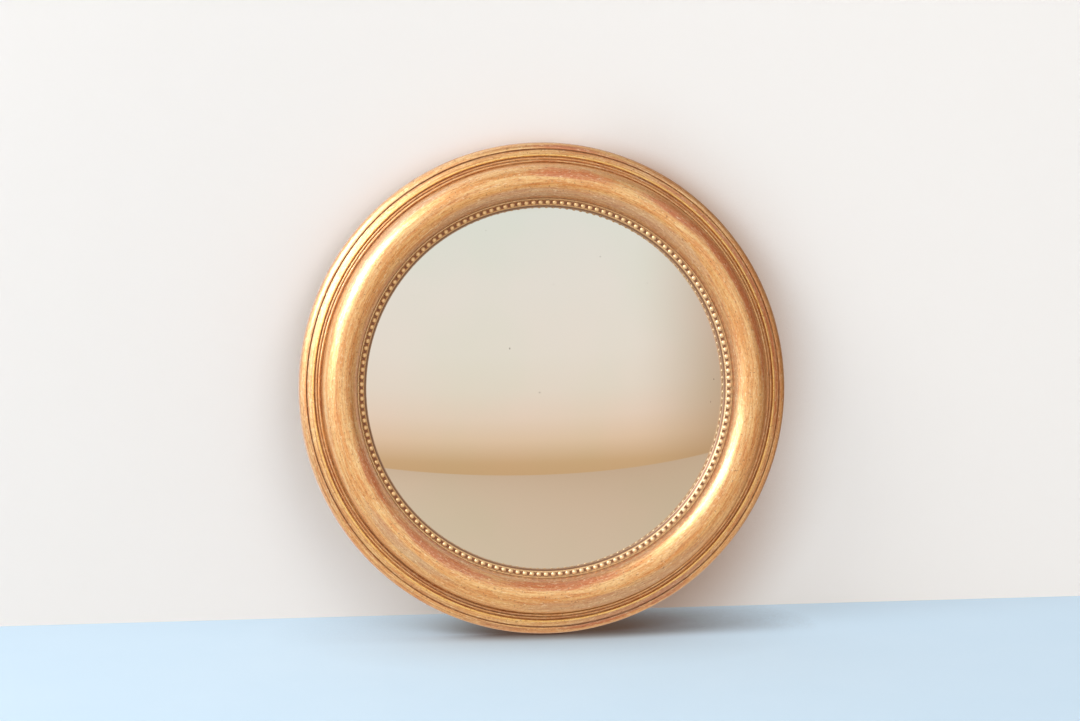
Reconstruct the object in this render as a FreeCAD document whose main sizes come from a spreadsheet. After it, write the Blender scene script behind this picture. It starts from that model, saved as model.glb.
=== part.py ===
import FreeCAD, Part

import math
import os
from collections import namedtuple

import Sketcher
from FreeCAD import Placement, Rotation, Vector

# Round convex mirror in a turned and gilded wooden frame.
#
# Millimetres. The wall is the plane y = 0 and the mirror looks along -Y, with +Z up. The
# origin is where the wall hook bears, at the inner top of the hanging ring. Outlines are
# drawn as (radius, height): radius from the mirror's axis, height forward of the frame's
# back face.

# Driving sizes.
SIZES = {
    # Glass: a silvered spherical cap.
    "glass_radius": 150.0,
    "glass_thickness": 3.0,
    "dome_radius": 440.0,
    "glass_play": 1.0,
    "sight_lap": 7.1,
    # Back layer of the frame, turned with a roll, a band, a ridge and two reeds.
    "segment_count": 6,
    "base_height": 14.0,
    "back_chamfer": 1.0,
    "edge_height": 7.0,
    "roll_radius": 6.5,
    "roll_width": 5.1,
    "roll_groove_width": 1.0,
    "groove_depth": 1.1,
    "band_width": 3.4,
    "band_foot": 13.2,
    "band_head": 14.6,
    "ridge_width": 1.8,
    "ridge_groove_width": 0.9,
    "reed_spring": 14.4,
    "outer_reed_width": 1.4,
    "reed_groove_width": 0.6,
    "reed_groove_depth": 0.5,
    "inner_reed_width": 1.8,
    "quirk_width": 0.8,
    # Front layer: the large half-round moulding.
    "torus_radius": 14.1,
    "torus_spring": 5.1,
    # Sight slip, held in a rebate between the two layers.
    "slip_slope": 2.1,
    "slip_recess": 3.0,
    "slip_slope_rise": 1.4,
    "bead_bed_width": 4.2,
    "slip_fillet_width": 0.7,
    "slip_fillet_height": 1.4,
    "slip_flange_thickness": 2.2,
    "slip_flange_width": 5.1,
    "glue_gap": 0.1,
    # Strips of pearl beading.
    "strip_count": 6,
    "strip_thickness": 0.6,
    "bead_radius": 2.0,
    "bead_gap": 1.7,
    "bead_cut_angle": 25.0,
    "bead_sink": 0.1,
    # What holds the glass in.
    "felt_thickness": 0.4,
    "felt_set_back": 0.7,
    "packing_width": 10.0,
    "board_thickness": 3.0,
    "board_play": 0.5,
    # Bumpers, which keep the frame off the wall.
    "stand_off": 6.0,
    "bumper_radius": 6.5,
    "bumper_face_radius": 4.5,
    "bumper_wall": 2.5,
    "bumper_spread": 70.0,
    # Hanging ring and its strap.
    "wire_radius": 1.25,
    "ring_bend": 2.4,
    "ring_leg": 6.0,
    "ring_side_gap": 0.4,
    "knuckle_play": 0.1,
    "strap_thickness": 1.2,
    "strap_width": 14.0,
    "strap_first_hole": 8.0,
    "strap_hole_spacing": 8.5,
    "strap_end": 5.5,
    "strap_margin": 2.0,
    # Turn-buttons, which hold the backboard in.
    "button_count": 4,
    "button_width": 10.0,
    "button_reach": 14.0,
    "button_thickness": 1.5,
    "button_play": 0.05,
    "button_set_out": 6.0,
    # Wood screws.
    "screw_head_radius": 2.9,
    "screw_head_height": 1.6,
    "screw_shank_radius": 1.5,
    "screw_hole_play": 0.08,
    "screw_cover": 3.0,
    "screw_tip": 3.0,
    "screw_slot_width": 0.7,
    "screw_slot_depth": 0.6,
    "pilot_play": 0.02,
    "pilot_extra_depth": 0.5,
}

FULL_TURN = math.degrees(math.tau)
UPRIGHT = FULL_TURN / 4
UPSIDE = FULL_TURN / 2

# Radii, counted outwards from the sight edge.
SIGHT = "(Sizes.glass_radius - Sizes.sight_lap)"
BED_INNER = f"({SIGHT} + Sizes.slip_slope)"
BED_OUTER = f"({BED_INNER} + Sizes.bead_bed_width)"
SLIP_OUTER = f"({BED_OUTER} + Sizes.slip_fillet_width)"
TORUS_INNER = f"({SLIP_OUTER} + Sizes.glue_gap)"
TORUS_CENTRE = f"({TORUS_INNER} + Sizes.torus_radius)"
TORUS_OUTER = f"({TORUS_CENTRE} + Sizes.torus_radius)"
REBATE = "(Sizes.glass_radius + Sizes.glass_play)"
FLANGE = f"({SLIP_OUTER} + Sizes.slip_flange_width)"
INNER_REED = f"({TORUS_OUTER} + Sizes.quirk_width)"
REED_GROOVE = f"({INNER_REED} + Sizes.inner_reed_width)"
OUTER_REED = f"({REED_GROOVE} + Sizes.reed_groove_width)"
RIDGE_GROOVE = f"({OUTER_REED} + Sizes.outer_reed_width)"
RIDGE = f"({RIDGE_GROOVE} + Sizes.ridge_groove_width)"
BAND = f"({RIDGE} + Sizes.ridge_width)"
ROLL_GROOVE = f"({BAND} + Sizes.band_width)"
ROLL = f"({ROLL_GROOVE} + Sizes.roll_groove_width)"
RIM = f"({ROLL} + Sizes.roll_width)"
ROLL_CENTRE = f"({RIM} - Sizes.roll_radius)"

# Heights, counted forward from the frame's back face.
TORUS_LEVEL = "(Sizes.base_height + Sizes.torus_spring)"
SLIP_BACK = "(Sizes.base_height + Sizes.slip_recess)"
FLANGE_TOP = f"({SLIP_BACK} + Sizes.slip_flange_thickness)"
BED_LEVEL = f"({SLIP_BACK} + Sizes.slip_slope_rise)"
STRIP_TOP = f"({BED_LEVEL} + Sizes.strip_thickness)"
FILLET_TOP = f"({BED_LEVEL} + Sizes.slip_fillet_height)"
FELT_BACK = f"({SLIP_BACK} - Sizes.felt_thickness)"
ROLL_TOP = (
    f"(Sizes.edge_height + sqrt(pow(Sizes.roll_radius; 2) - pow({ROLL} - {ROLL_CENTRE}; 2)))"
)

# The glass is a shell between two spheres with one centre, and its front touches the
# felt's inner edge.
FELT_INNER = f"({SIGHT} + Sizes.felt_set_back)"
DOME_CENTRE = f"({FELT_BACK} - sqrt(pow(Sizes.dome_radius; 2) - pow({FELT_INNER}; 2)))"
INNER_DOME = "(Sizes.dome_radius - Sizes.glass_thickness)"
GLASS_FRONT_RIM = (
    f"({DOME_CENTRE} + sqrt(pow(Sizes.dome_radius; 2) - pow(Sizes.glass_radius; 2)))"
)
GLASS_BACK_RIM = f"({DOME_CENTRE} + sqrt(pow({INNER_DOME}; 2) - pow(Sizes.glass_radius; 2)))"

# The hanging ring, from its hinge bar. The strap ends on the frame's back, clear of the
# rebate.
STRAP_LENGTH = "(Sizes.strap_first_hole + Sizes.strap_hole_spacing + Sizes.strap_end)"
PIVOT_RADIUS = f"({REBATE} + Sizes.strap_margin + {STRAP_LENGTH})"
KNUCKLE = "(Sizes.wire_radius + Sizes.knuckle_play + Sizes.strap_thickness)"
RING_HALF_WIDTH = "(Sizes.strap_width / 2 + Sizes.ring_side_gap + Sizes.ring_bend)"
RING_REACH = f"(Sizes.ring_leg + {RING_HALF_WIDTH} - Sizes.wire_radius)"
AXIS_DROP = f"({PIVOT_RADIUS} + {RING_REACH})"

# Bumpers, turn-buttons and screws, on the frame's back. The screws stay within the back
# layer.
BUMPER_RADIUS = f"(({REBATE} + {RIM}) / 2)"
BUTTON_RADIUS = f"({REBATE} + Sizes.button_set_out)"
SCREW_LENGTH = "(Sizes.base_height - Sizes.screw_cover)"
SCREW_HOLE = "(Sizes.screw_shank_radius + Sizes.screw_hole_play)"
PILOT = "(Sizes.screw_shank_radius + Sizes.pilot_play)"
HEAD_SPHERE = (
    "((pow(Sizes.screw_head_radius; 2) + pow(Sizes.screw_head_height; 2))"
    " / (2 * Sizes.screw_head_height))"
)

# An outline's edges, each given by its end. An arc turns +1 anticlockwise or -1 clockwise.
Line = namedtuple("Line", "x y")
Arc = namedtuple("Arc", "x y centre_x centre_y turn")

# Sketcher's names for the points of a curve.
START, END, CENTRE = 1, 2, 3
SKETCH_ORIGIN = (-1, 1)

doc = FreeCAD.newDocument("ConvexMirror")
sheet = doc.addObject("Spreadsheet::Sheet", "Sizes")


def write_sizes():
    """Put every driving size in the sheet, under its own alias."""
    for row, (alias, value) in enumerate(SIZES.items(), start=1):
        sheet.set(f"A{row}", alias)
        sheet.set(f"B{row}", str(value))
        sheet.setAlias(f"B{row}", alias)
    doc.recompute()


def measure(expression):
    """Value of a size expression, from the sheet."""
    return float(sheet.evalExpression(expression))


def new_body(label):
    body = doc.addObject("PartDesign::Body", label)
    body.Label = label
    return body


def new_sketch(body, name, role, lift=None, flip=0.0):
    """Sketch on one of the body's own origin planes, lifted off it or flipped about X."""
    plane = next(item for item in body.Origin.OriginFeatures if item.Role == role)
    sketch = body.newObject("Sketcher::SketchObject", f"{body.Name}_{name}")
    sketch.AttachmentSupport = (plane, [""])
    sketch.MapMode = "FlatFace"
    sketch.AttachmentOffset = Placement(Vector(), Rotation(Vector(1, 0, 0), flip))
    if lift:
        sketch.setExpression("AttachmentOffset.Base.z", lift)
    return sketch


def hold(sketch, kind, curve, point, expression):
    """Bind one coordinate of a curve's point to a size expression."""
    value = measure(expression)
    index = sketch.addConstraint(Sketcher.Constraint(kind, *SKETCH_ORIGIN, curve, point, value))
    sketch.setExpression(f"Constraints[{index}]", expression)


def add_arc(sketch, first, last, centre, turn):
    """Arc from first to last, and which of its own ends each of them is."""
    circle = Part.Circle(centre, Vector(0, 0, 1), first.distanceToPoint(centre))
    angles = [math.atan2(point.y - centre.y, point.x - centre.x) for point in (first, last)]
    if turn > 0:
        return sketch.addGeometry(Part.ArcOfCircle(circle, angles[0], angles[1])), START, END
    return sketch.addGeometry(Part.ArcOfCircle(circle, angles[1], angles[0])), END, START


def draw_outline(sketch, edges):
    """Closed outline of lines and arcs, with every corner bound to its sizes."""
    ends = []
    for corner, edge in zip([edges[-1]] + edges[:-1], edges):
        first = Vector(measure(corner.x), measure(corner.y), 0)
        last = Vector(measure(edge.x), measure(edge.y), 0)
        if isinstance(edge, Arc):
            centre = Vector(measure(edge.centre_x), measure(edge.centre_y), 0)
            curve, begin, finish = add_arc(sketch, first, last, centre, edge.turn)
            if abs(last.x - first.x) > abs(last.y - first.y):
                hold(sketch, "DistanceY", curve, CENTRE, edge.centre_y)
            else:
                hold(sketch, "DistanceX", curve, CENTRE, edge.centre_x)
        else:
            curve = sketch.addGeometry(Part.LineSegment(first, last))
            begin, finish = START, END
        hold(sketch, "DistanceX", curve, begin, corner.x)
        hold(sketch, "DistanceY", curve, begin, corner.y)
        ends.append((curve, begin, finish))
    for before, after in zip([ends[-1]] + ends[:-1], ends):
        sketch.addConstraint(
            Sketcher.Constraint("Coincident", before[0], before[2], after[0], after[1])
        )


def draw_circle(sketch, x, y, radius):
    centre = Vector(measure(x), measure(y), 0)
    circle = Part.Circle(centre, Vector(0, 0, 1), measure(radius))
    curve = sketch.addGeometry(circle)
    index = sketch.addConstraint(Sketcher.Constraint("Radius", curve, circle.Radius))
    sketch.setExpression(f"Constraints[{index}]", radius)
    hold(sketch, "DistanceX", curve, CENTRE, x)
    hold(sketch, "DistanceY", curve, CENTRE, y)


def turned(body, edges, angle=str(FULL_TURN)):
    """Turn an outline of (radius, height) about the body's Y axis, anticlockwise from +X
    as the front is seen."""
    sketch = new_sketch(body, "outline", "XY_Plane", flip=UPSIDE)
    draw_outline(sketch, edges)
    feature = body.newObject("PartDesign::Revolution", f"{body.Name}_turning")
    feature.Profile = sketch
    feature.ReferenceAxis = (sketch, ["V_Axis"])
    feature.setExpression("Angle", angle)
    doc.recompute()
    return feature


def padded(body, sketch, name, length, reverse=False, symmetric=False):
    feature = body.newObject("PartDesign::Pad", f"{body.Name}_{name}")
    feature.Profile = sketch
    feature.SideType = "Symmetric" if symmetric else "One side"
    feature.Reversed = reverse
    feature.setExpression("Length", length)
    doc.recompute()
    return feature


def drill(body, places, radius, depth):
    """Holes forward from the plane of the body's origin, at (x, z) places."""
    before = body.Shape.Volume
    sketch = new_sketch(body, "holes", "XZ_Plane")
    for x, z in places:
        draw_circle(sketch, x, z, radius)
    feature = body.newObject("PartDesign::Pocket", f"{body.Name}_drilling")
    feature.Profile = sketch
    feature.Reversed = True
    feature.setExpression("Length", depth)
    doc.recompute()
    if body.Shape.Volume >= before:
        raise RuntimeError(f"{body.Label}: the holes cut nothing")


def seat_on_axis(body, angle=0.0):
    """Place a body drawn about the mirror's axis, from the frame's back face."""
    base = Vector(0, -measure("Sizes.stand_off"), -measure(AXIS_DROP))
    body.Placement = Placement(base, Rotation(Vector(0, -1, 0), angle))


def seat_on_back(body, radius, angle, lift=0.0):
    """Place a body drawn about its own Y axis on the frame's back face, with its +X
    pointing away from the mirror's axis."""
    turn = math.radians(angle)
    distance = measure(radius)
    x = distance * math.cos(turn)
    z = distance * math.sin(turn) - measure(AXIS_DROP)
    body.Placement = Placement(
        Vector(x, lift - measure("Sizes.stand_off"), z), Rotation(Vector(0, -1, 0), angle)
    )


def base_outline():
    """Section of the back layer, from the rebate outwards and back over the mouldings."""
    return [
        Line(f"{RIM} - Sizes.back_chamfer", "0"),
        Line(RIM, "Sizes.back_chamfer"),
        Line(RIM, "Sizes.edge_height"),
        Arc(ROLL, ROLL_TOP, ROLL_CENTRE, "Sizes.edge_height", 1),
        Line(
            f"{ROLL_GROOVE} + Sizes.roll_groove_width / 2",
            "Sizes.band_foot - Sizes.groove_depth",
        ),
        Line(ROLL_GROOVE, "Sizes.band_foot"),
        Line(BAND, "Sizes.band_head"),
        Arc(RIDGE, "Sizes.band_head", f"{RIDGE} + Sizes.ridge_width / 2", "Sizes.band_head", 1),
        Line(
            f"{RIDGE_GROOVE} + Sizes.ridge_groove_width / 2",
            "Sizes.reed_spring - Sizes.groove_depth",
        ),
        Line(RIDGE_GROOVE, "Sizes.reed_spring"),
        Arc(
            OUTER_REED,
            "Sizes.reed_spring",
            f"{OUTER_REED} + Sizes.outer_reed_width / 2",
            "Sizes.reed_spring",
            1,
        ),
        Line(
            f"{REED_GROOVE} + Sizes.reed_groove_width / 2",
            "Sizes.reed_spring - Sizes.reed_groove_depth",
        ),
        Line(REED_GROOVE, "Sizes.reed_spring"),
        Arc(
            INNER_REED,
            "Sizes.reed_spring",
            f"{INNER_REED} + Sizes.inner_reed_width / 2",
            "Sizes.reed_spring",
            1,
        ),
        Line(TORUS_OUTER, "Sizes.base_height"),
        Line(REBATE, "Sizes.base_height"),
        Line(REBATE, "0"),
    ]


def torus_outline():
    """Section of the front layer, whose inner end stands on the slip's flange."""
    reach = f"sqrt(pow(Sizes.torus_radius; 2) - pow({FLANGE_TOP} - {TORUS_LEVEL}; 2))"
    rebate = f"{FLANGE} + Sizes.glue_gap"
    return [
        Line(TORUS_OUTER, "Sizes.base_height"),
        Line(TORUS_OUTER, TORUS_LEVEL),
        Arc(f"{TORUS_CENTRE} - {reach}", FLANGE_TOP, TORUS_CENTRE, TORUS_LEVEL, 1),
        Line(rebate, FLANGE_TOP),
        Line(rebate, "Sizes.base_height"),
    ]


def slip_outline():
    """Section of the sight slip: sloping sight edge, bead bed, fillet and flange."""
    return [
        Line(SIGHT, SLIP_BACK),
        Line(REBATE, SLIP_BACK),
        Line(REBATE, "Sizes.base_height"),
        Line(FLANGE, "Sizes.base_height"),
        Line(FLANGE, FLANGE_TOP),
        Line(SLIP_OUTER, FLANGE_TOP),
        Line(SLIP_OUTER, FILLET_TOP),
        Line(BED_OUTER, FILLET_TOP),
        Line(BED_OUTER, BED_LEVEL),
        Line(BED_INNER, BED_LEVEL),
    ]


def back_screws():
    """Where the screws enter the frame's back face: (radius, angle) of each."""
    count = int(measure("Sizes.button_count"))
    buttons = [(BUTTON_RADIUS, FULL_TURN / count * (index + 0.5)) for index in range(count)]
    first = f"({PIVOT_RADIUS} - Sizes.strap_first_hole)"
    hanger = [(first, UPRIGHT), (f"({first} - Sizes.strap_hole_spacing)", UPRIGHT)]
    return hanger, buttons


def make_base_segments():
    """Back layer: mitred segments, with the screws' pilot holes in their back faces."""
    hanger, buttons = back_screws()
    count = int(measure("Sizes.segment_count"))
    step = FULL_TURN / count
    depth = f"{SCREW_LENGTH} + Sizes.pilot_extra_depth"
    segments = []
    for index in range(count):
        body = new_body(f"base_segment_{index + 1}")
        turned(body, base_outline(), f"{FULL_TURN} / Sizes.segment_count")
        places = []
        for radius, angle in hanger + buttons:
            inside = angle - index * step
            hole = math.degrees(measure(PILOT) / measure(radius))
            if -hole < inside < step + hole:
                places.append((f"{radius} * cos({inside} deg)", f"{radius} * sin({inside} deg)"))
        if places:
            drill(body, places, PILOT, depth)
        seat_on_axis(body, index * step)
        segments.append(body)
    return segments


def make_torus_segments():
    """Front layer: the half-round's segments bridge the joints of the back layer."""
    count = int(measure("Sizes.segment_count"))
    step = FULL_TURN / count
    segments = []
    for index in range(count):
        body = new_body(f"torus_segment_{index + 1}")
        turned(body, torus_outline(), f"{FULL_TURN} / Sizes.segment_count")
        seat_on_axis(body, (index + 0.5) * step)
        segments.append(body)
    return segments


def make_sight_slip():
    body = new_body("sight_slip")
    turned(body, slip_outline())
    seat_on_axis(body)
    return body


def make_bead_strips():
    """Pressed strips of pearl beading, each a flat tape with a row of beads on it."""
    count = int(measure("Sizes.strip_count"))
    step = FULL_TURN / count
    middle = measure(f"({BED_INNER} + {BED_OUTER}) / 2")
    pitch = measure("2 * Sizes.bead_radius + Sizes.bead_gap")
    beads = int(math.radians(step) * middle / pitch)
    strips = []
    for index in range(count):
        body = new_body(f"bead_strip_{index + 1}")
        inner = f"{BED_INNER} + Sizes.glue_gap"
        outer = f"{BED_OUTER} - Sizes.glue_gap"
        tape = [
            Line(outer, BED_LEVEL),
            Line(outer, STRIP_TOP),
            Line(inner, STRIP_TOP),
            Line(inner, BED_LEVEL),
        ]
        turned(body, tape, f"{FULL_TURN} / Sizes.strip_count")
        add_beads(body, beads, step / beads)
        seat_on_axis(body, (index + 0.5) * step)
        strips.append(body)
    return strips


def add_beads(body, count, pitch):
    """A row of beads, each a ball cut flat where it sits on the tape."""
    ball = body.newObject("PartDesign::AdditiveSphere", f"{body.Name}_bead")
    ball.setExpression("Radius", "Sizes.bead_radius")
    ball.setExpression("Angle1", "-Sizes.bead_cut_angle")
    middle = measure(f"({BED_INNER} + {BED_OUTER}) / 2")
    rise = "Sizes.bead_radius * sin(Sizes.bead_cut_angle * 1 deg) - Sizes.bead_sink"
    height = measure(f"{STRIP_TOP} + {rise}")
    turn = Rotation(Vector(0, -1, 0), pitch / 2)
    facing = Rotation(Vector(0, 0, 1), Vector(0, -1, 0))
    ball.Placement = Placement(turn.multVec(Vector(middle, -height, 0)), facing)
    doc.recompute()
    row = body.newObject("PartDesign::PolarPattern", f"{body.Name}_row")
    row.Originals = [ball]
    row.Axis = (next(i for i in body.Origin.OriginFeatures if i.Role == "Y_Axis"), [""])
    row.Reversed = True
    row.Angle = pitch * (count - 1)
    row.Occurrences = count
    body.Tip = row
    doc.recompute()


def make_glass():
    """Convex glass: the space between two spheres, cut to a round."""
    body = new_body("convex_mirror")
    edges = [
        Arc("Sizes.glass_radius", GLASS_BACK_RIM, "0", DOME_CENTRE, -1),
        Line("Sizes.glass_radius", GLASS_FRONT_RIM),
        Arc("0", f"{DOME_CENTRE} + Sizes.dome_radius", "0", DOME_CENTRE, 1),
        Line("0", f"{DOME_CENTRE} + {INNER_DOME}"),
    ]
    turned(body, edges)
    seat_on_axis(body)
    return body


def make_ring(label, inner, outer, low, high):
    """Flat ring of rectangular section about the mirror's axis."""
    body = new_body(label)
    turned(body, [Line(outer, low), Line(outer, high), Line(inner, high), Line(inner, low)])
    seat_on_axis(body)
    return body


def make_backboard():
    body = new_body("backboard")
    edge = f"{REBATE} - Sizes.board_play"
    edges = [
        Line(edge, "0"),
        Line(edge, "Sizes.board_thickness"),
        Line("0", "Sizes.board_thickness"),
        Line("0", "0"),
    ]
    turned(body, edges)
    seat_on_axis(body)
    return body


def make_bumper(label, angle):
    """Soft bumper, narrowing to the flat face that meets the wall."""
    body = new_body(label)
    edges = [
        Line("0", "0"),
        Line("0", "-Sizes.stand_off"),
        Line("Sizes.bumper_face_radius", "-Sizes.stand_off"),
        Line("Sizes.bumper_radius", "-Sizes.bumper_wall"),
        Line("Sizes.bumper_radius", "0"),
    ]
    turned(body, edges)
    seat_on_back(body, BUMPER_RADIUS, angle)
    return body


def make_bumpers():
    downward = FULL_TURN - UPRIGHT
    half = measure("Sizes.bumper_spread") / 2
    return [
        make_bumper("bumper_left", downward - half),
        make_bumper("bumper_right", downward + half),
    ]


def seat_on_pivot(body):
    """Place a body drawn about the hinge bar of the hanging ring."""
    y = measure(f"{KNUCKLE} - Sizes.stand_off")
    body.Placement = Placement(Vector(0, y, -measure(RING_REACH)), Rotation())


def make_hanger_strap():
    """Steel strap: a plate with a round end and two holes, curled round the hinge bar."""
    body = new_body("hanger_strap")
    half = "Sizes.strap_width / 2"
    end = f"-{STRAP_LENGTH}"
    neck = f"({half} - {STRAP_LENGTH})"
    plate = new_sketch(body, "plate", "XZ_Plane", lift=KNUCKLE)
    draw_outline(
        plate,
        [
            Line(half, "0"),
            Line(f"-{half}", "0"),
            Line(f"-{half}", neck),
            Arc("0", end, "0", neck, 1),
            Arc(half, neck, "0", neck, 1),
        ],
    )
    first = "-Sizes.strap_first_hole"
    for z in (first, f"{first} - Sizes.strap_hole_spacing"):
        draw_circle(plate, "0", z, SCREW_HOLE)
    padded(body, plate, "plate_pad", "Sizes.strap_thickness", reverse=True)
    curl = new_sketch(body, "curl", "YZ_Plane")
    draw_circle(curl, "0", "0", KNUCKLE)
    draw_circle(curl, "0", "0", "Sizes.wire_radius + Sizes.knuckle_play")
    padded(body, curl, "curl_pad", "Sizes.strap_width", symmetric=True)
    seat_on_pivot(body)
    return body


def make_hanger_ring():
    """Wire ring: a straight hinge bar, two legs and a round bow, bent from one wire."""
    body = new_body("hanger_ring")
    half = RING_HALF_WIDTH
    knee = f"({half} - Sizes.ring_bend)"
    path = new_sketch(body, "path", "XZ_Plane")
    draw_outline(
        path,
        [
            Line(knee, "0"),
            Arc(half, "Sizes.ring_bend", knee, "Sizes.ring_bend", 1),
            Line(half, "Sizes.ring_leg"),
            Arc("0", f"Sizes.ring_leg + {half}", "0", "Sizes.ring_leg", 1),
            Arc(f"-{half}", "Sizes.ring_leg", "0", "Sizes.ring_leg", 1),
            Line(f"-{half}", "Sizes.ring_bend"),
            Arc(f"-{knee}", "0", f"-{knee}", "Sizes.ring_bend", 1),
            Line("0", "0"),
        ],
    )
    wire = new_sketch(body, "wire", "YZ_Plane")
    draw_circle(wire, "0", "0", "Sizes.wire_radius")
    doc.recompute()
    sweep = body.newObject("PartDesign::AdditivePipe", f"{body.Name}_sweep")
    sweep.Profile = wire
    sweep.Spine = (path, [""])
    doc.recompute()
    seat_on_pivot(body)
    return body


def make_turn_button(index, angle):
    """Plate with round ends that turns on its screw to free the backboard."""
    body = new_body(f"turn_button_{index + 1}")
    half = "Sizes.button_width / 2"
    reach = "-Sizes.button_reach"
    plate = new_sketch(body, "plate", "XZ_Plane")
    draw_outline(
        plate,
        [
            Arc("0", half, "0", "0", 1),
            Line(reach, half),
            Arc(reach, f"-{half}", reach, "0", 1),
            Line("0", f"-{half}"),
        ],
    )
    draw_circle(plate, "0", "0", SCREW_HOLE)
    padded(body, plate, "plate_pad", "Sizes.button_thickness", reverse=True)
    seat_on_back(body, BUTTON_RADIUS, angle, measure("Sizes.button_play"))
    return body


def make_screw(label, radius, angle, lift):
    """Round-headed wood screw with a slot. Its seat, under the head, is lift mm behind
    the frame's back face."""
    body = new_body(label)
    depth = f"({SCREW_LENGTH} + {lift})"
    edges = [
        Line("0", depth),
        Line("0", "-Sizes.screw_head_height"),
        Arc(
            "Sizes.screw_head_radius",
            "0",
            "0",
            f"{HEAD_SPHERE} - Sizes.screw_head_height",
            1,
        ),
        Line("Sizes.screw_shank_radius", "0"),
        Line("Sizes.screw_shank_radius", f"{depth} - Sizes.screw_tip"),
    ]
    turned(body, edges)
    slot = new_sketch(body, "slot", "XZ_Plane", lift="-Sizes.screw_head_height")
    half = "Sizes.screw_slot_width / 2"
    head = "Sizes.screw_head_radius"
    draw_outline(
        slot,
        [Line(head, half), Line(f"-{head}", half), Line(f"-{head}", f"-{half}"), Line(head, f"-{half}")],
    )
    cut = body.newObject("PartDesign::Pocket", f"{body.Name}_slot_cut")
    cut.Profile = slot
    cut.Reversed = True
    cut.setExpression("Length", "Sizes.screw_slot_depth")
    doc.recompute()
    seat_on_back(body, radius, angle, measure(lift))
    return body


def make_screws(label, places, lift):
    """One group of alike screws, each a solid of its own."""
    group = doc.addObject("Part::Compound", label)
    group.Label = label
    group.Links = [
        make_screw(f"{label}_{index + 1}", radius, angle, lift)
        for index, (radius, angle) in enumerate(places)
    ]
    return group


def check(parts):
    """Stop if any object failed or any piece is empty or faulty."""
    doc.recompute()
    for item in doc.Objects:
        if "Invalid" in item.State or "Error" in item.State:
            raise RuntimeError(f"{item.Label} failed: {item.State}")
    for part in parts:
        if part.Shape.isNull() or not part.Shape.isValid() or not part.Shape.Solids:
            raise RuntimeError(f"{part.Label} has no valid solid")


def write_parts(parts):
    os.makedirs("parts", exist_ok=True)
    for part in parts:
        part.Shape.exportStep(os.path.join("parts", f"{part.Label}.step"))
        box = part.Shape.optimalBoundingBox()
        print(
            f"{part.Label}: {len(part.Shape.Solids)} solid(s), {part.Shape.Volume:.1f} mm3,"
            f" x {box.XMin:.2f}..{box.XMax:.2f}, y {box.YMin:.2f}..{box.YMax:.2f},"
            f" z {box.ZMin:.2f}..{box.ZMax:.2f}"
        )


def main():
    write_sizes()
    hanger, buttons = back_screws()
    parts = make_base_segments()
    parts += make_torus_segments()
    parts.append(make_sight_slip())
    parts += make_bead_strips()
    parts.append(make_glass())
    parts.append(
        make_ring("glass_felt", FELT_INNER, "Sizes.glass_radius", FELT_BACK, SLIP_BACK)
    )
    parts.append(
        make_ring(
            "packing_ring",
            "Sizes.glass_radius - Sizes.packing_width",
            "Sizes.glass_radius",
            "Sizes.board_thickness",
            GLASS_BACK_RIM,
        )
    )
    parts.append(make_backboard())
    parts += make_bumpers()
    parts.append(make_hanger_strap())
    parts.append(make_hanger_ring())
    parts.append(make_screws("hanger_screws", hanger, "Sizes.strap_thickness"))
    parts += [make_turn_button(index, angle) for index, (_, angle) in enumerate(buttons)]
    button_lift = "(Sizes.button_thickness + 2 * Sizes.button_play)"
    parts.append(make_screws("button_screws", buttons, button_lift))
    check(parts)
    write_parts(parts)


main()
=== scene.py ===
import math
import random

import bmesh
import bpy
from mathutils import Matrix, Vector, noise


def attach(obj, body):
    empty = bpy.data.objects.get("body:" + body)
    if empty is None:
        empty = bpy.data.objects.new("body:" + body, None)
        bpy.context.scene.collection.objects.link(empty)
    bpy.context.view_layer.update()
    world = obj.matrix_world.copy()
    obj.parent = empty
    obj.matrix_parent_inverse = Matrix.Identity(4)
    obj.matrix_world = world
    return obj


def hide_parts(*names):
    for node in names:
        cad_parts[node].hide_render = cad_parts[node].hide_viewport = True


# Round convex mirror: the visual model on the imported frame.
#
# Sizes are in millimetres and follow the part's source. Outlines are (radius, height):
# radius from the mirror's axis, height forward of the frame's back face.

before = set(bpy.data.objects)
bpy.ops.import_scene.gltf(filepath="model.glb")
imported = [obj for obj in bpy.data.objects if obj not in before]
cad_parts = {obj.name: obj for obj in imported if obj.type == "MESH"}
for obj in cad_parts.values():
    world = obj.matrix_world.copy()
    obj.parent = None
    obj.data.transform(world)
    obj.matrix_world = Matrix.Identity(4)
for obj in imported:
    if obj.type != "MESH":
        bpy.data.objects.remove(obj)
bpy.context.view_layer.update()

MM = 0.001
STAND_OFF = 6.0
AXIS_DROP = 189.55
FULL_TURN = 360.0

# Radii and heights of the frame.
SIGHT, BED_INNER, BED_OUTER, SLIP_OUTER = 142.9, 145.0, 149.2, 149.9
REBATE, FLANGE = 151.0, 155.0
TORUS_RADIUS, TORUS_CENTRE, TORUS_OUTER, TORUS_LEVEL = 14.1, 164.1, 178.2, 19.1
RIM = 195.0
BASE_HEIGHT, SLIP_BACK, FLANGE_TOP, BED_LEVEL = 14.0, 17.0, 19.2, 18.4
STRIP_TOP, FILLET_TOP = 19.0, 19.8
SEGMENTS = 6
SEGMENT_STEPS = 90
HAND_WORK = 0.07  # how deep hand finishing sinks the surface
EASED_EDGE, EASED_SLIP_EDGE = 0.16, 0.14  # how far gesso eases the corners
SHARP_ANGLE = 32.0  # edges that bend more than this stay sharp

# Beading.
BEADS_PER_STRIP = 27
BEAD_RADIUS, BEAD_RING, BEAD_HEIGHT = 2.0, 147.1, 19.745
TAPE_PLAY, TAPE_CHAMFER = 0.1, 0.3

# Glass.
GLASS_RADIUS, GLASS_THICKNESS, DOME_RADIUS, DOME_CENTRE = 150.0, 3.0, 440.0, -399.307

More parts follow.
